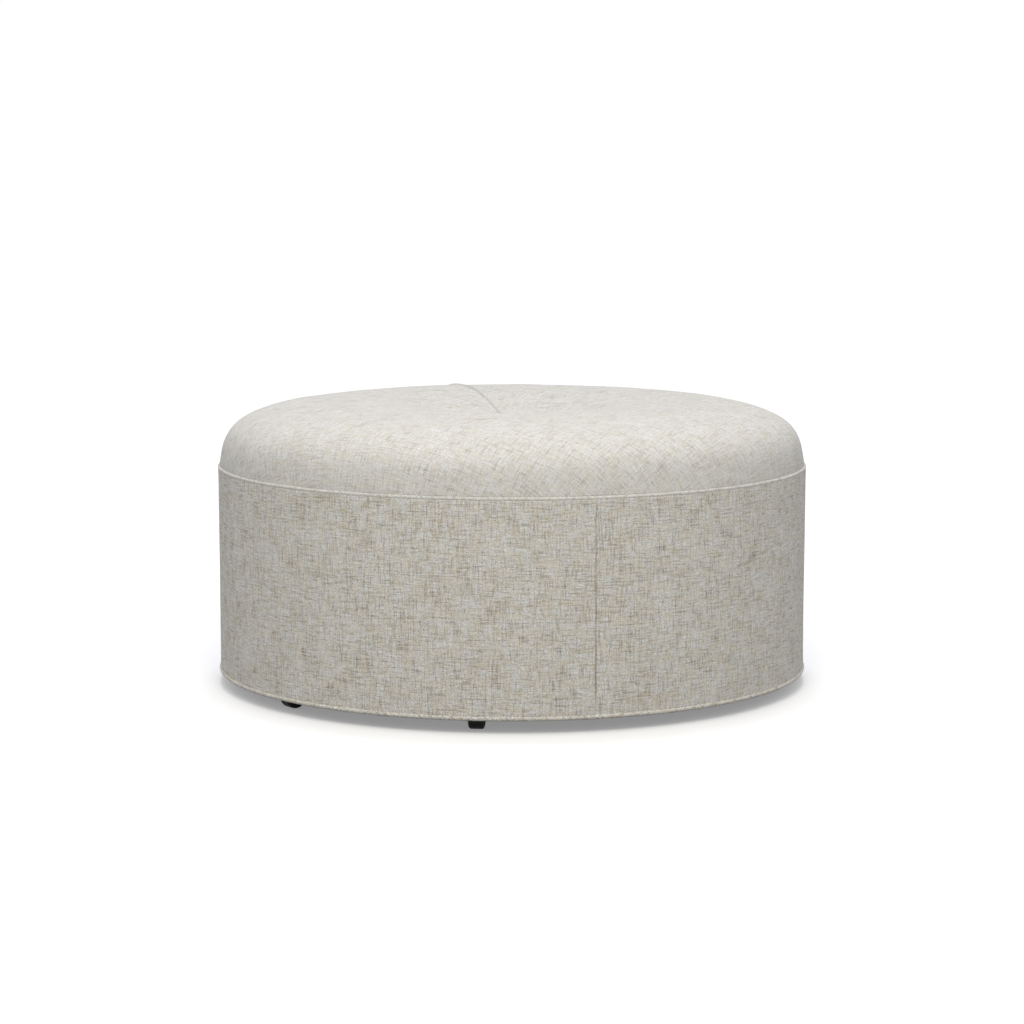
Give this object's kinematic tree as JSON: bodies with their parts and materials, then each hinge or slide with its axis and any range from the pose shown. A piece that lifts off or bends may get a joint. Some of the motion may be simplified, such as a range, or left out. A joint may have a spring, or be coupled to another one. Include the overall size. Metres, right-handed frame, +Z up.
{
  "type": "ottoman",
  "caption": "Round upholstered ottoman in pale linen-look cloth, with welted edges, a softly dished seat and hidden swivel casters.",
  "frame": {"origin": "on the floor, under the middle of the seat", "axes": "+Z up; the front faces -Y, with the band's seam a little to its right; +X to the right"},
  "size_m": [1.0206, 1.0206, 0.485],
  "materials": {
    "linen_cloth": "matte",
    "seat_foam": "matte",
    "wadding": "matte",
    "cotton_cord": "matte",
    "black_cambric": "matte",
    "birch_ply": "matte",
    "pine": "matte",
    "black_steel": "satin",
    "zinc_steel": "satin",
    "black_nylon": "satin"
  },
  "bodies": {
    "root": {"base_board": "birch_ply", "deck_board": "birch_ply", "frame_post_1": "pine", "frame_post_2": "pine", "frame_post_3": "pine", "frame_post_4": "pine", "frame_post_5": "pine", "frame_post_6": "pine", "frame_post_7": "pine", "frame_post_8": "pine", "side_panel_right": "birch_ply", "side_panel_left": "birch_ply", "side_padding": "seat_foam", "seat_foam": "seat_foam", "seat_wadding": "wadding", "top_cover": "linen_cloth", "band_cover": "linen_cloth", "top_welt": "linen_cloth", "bottom_welt": "linen_cloth", "welt_cords": "cotton_cord", "dust_cover": "black_cambric", "tuft_button": "linen_cloth", "tuft_twine": "cotton_cord", "twine_anchor": "birch_ply", "staples": "zinc_steel", "frame_screws": "zinc_steel", "caster_screws": "zinc_steel", "caster_kingpins": "zinc_steel", "caster_plate_1": "black_steel", "caster_plate_2": "black_steel", "caster_plate_3": "black_steel", "caster_plate_4": "black_steel", "caster_plate_5": "black_steel", "caster_plate_6": "black_steel", "caster_plate_7": "black_steel", "caster_plate_8": "black_steel"},
    "swivel_1": {"yoke_1": "black_steel", "axle_1": "zinc_steel"},
    "wheel_1": {"wheel_1": "black_nylon"},
    "swivel_2": {"yoke_2": "black_steel", "axle_2": "zinc_steel"},
    "wheel_2": {"wheel_2": "black_nylon"},
    "swivel_3": {"yoke_3": "black_steel", "axle_3": "zinc_steel"},
    "wheel_3": {"wheel_3": "black_nylon"},
    "swivel_4": {"yoke_4": "black_steel", "axle_4": "zinc_steel"},
    "wheel_4": {"wheel_4": "black_nylon"},
    "swivel_5": {"yoke_5": "black_steel", "axle_5": "zinc_steel"},
    "wheel_5": {"wheel_5": "black_nylon"},
    "swivel_6": {"yoke_6": "black_steel", "axle_6": "zinc_steel"},
    "wheel_6": {"wheel_6": "black_nylon"},
    "swivel_7": {"yoke_7": "black_steel", "axle_7": "zinc_steel"},
    "wheel_7": {"wheel_7": "black_nylon"},
    "swivel_8": {"yoke_8": "black_steel", "axle_8": "zinc_steel"},
    "wheel_8": {"wheel_8": "black_nylon"}
  },
  "joints": [
    {"name": "swivel_turn_1", "type": "hinge", "parent": "root", "child": "swivel_1", "pos_m": [-0.05295, -0.43122, 0.05], "axis": [0, 0, 1], "continuous": true},
    {"name": "wheel_roll_1", "type": "hinge", "parent": "swivel_1", "child": "wheel_1", "pos_m": [-0.05599, -0.45603, 0.019], "axis": [0.9925, -0.1219, 0], "continuous": true},
    {"name": "swivel_turn_2", "type": "hinge", "parent": "root", "child": "swivel_2", "pos_m": [0.26748, -0.34236, 0.05], "axis": [0, 0, 1], "continuous": true},
    {"name": "wheel_roll_2", "type": "hinge", "parent": "swivel_2", "child": "wheel_2", "pos_m": [0.25209, -0.32266, 0.019], "axis": [-0.788, -0.6157, 0], "continuous": true},
    {"name": "swivel_turn_3", "type": "hinge", "parent": "root", "child": "swivel_3", "pos_m": [0.43122, -0.05295, 0.05], "axis": [0, 0, 1], "continuous": true},
    {"name": "wheel_roll_3", "type": "hinge", "parent": "swivel_3", "child": "wheel_3", "pos_m": [0.41125, -0.0379, 0.019], "axis": [-0.6018, -0.7986, 0], "continuous": true},
    {"name": "swivel_turn_4", "type": "hinge", "parent": "root", "child": "swivel_4", "pos_m": [0.34236, 0.26748, 0.05], "axis": [0, 0, 1], "continuous": true},
    {"name": "wheel_roll_4", "type": "hinge", "parent": "swivel_4", "child": "wheel_4", "pos_m": [0.35561, 0.28868, 0.019], "axis": [-0.848, 0.5299, 0], "continuous": true},
    {"name": "swivel_turn_5", "type": "hinge", "parent": "root", "child": "swivel_5", "pos_m": [0.05295, 0.43122, 0.05], "axis": [0, 0, 1], "continuous": true},
    {"name": "wheel_roll_5", "type": "hinge", "parent": "swivel_5", "child": "wheel_5", "pos_m": [0.06231, 0.4544, 0.019], "axis": [-0.9272, 0.3746, 0], "continuous": true},
    {"name": "swivel_turn_6", "type": "hinge", "parent": "root", "child": "swivel_6", "pos_m": [-0.26748, 0.34236, 0.05], "axis": [0, 0, 1], "continuous": true},
    {"name": "wheel_roll_6", "type": "hinge", "parent": "swivel_6", "child": "wheel_6", "pos_m": [-0.29139, 0.34967, 0.019], "axis": [-0.2924, -0.9563, 0], "continuous": true},
    {"name": "swivel_turn_7", "type": "hinge", "parent": "root", "child": "swivel_7", "pos_m": [-0.43122, 0.05295, 0.05], "axis": [0, 0, 1], "continuous": true},
    {"name": "wheel_roll_7", "type": "hinge", "parent": "swivel_7", "child": "wheel_7", "pos_m": [-0.45119, 0.06799, 0.019], "axis": [-0.6018, -0.7986, 0], "continuous": true},
    {"name": "swivel_turn_8", "type": "hinge", "parent": "root", "child": "swivel_8", "pos_m": [-0.34236, -0.26748, 0.05], "axis": [0, 0, 1], "continuous": true},
    {"name": "wheel_roll_8", "type": "hinge", "parent": "swivel_8", "child": "wheel_8", "pos_m": [-0.36206, -0.28287, 0.019], "axis": [0.6157, -0.788, 0], "continuous": true}
  ]
}
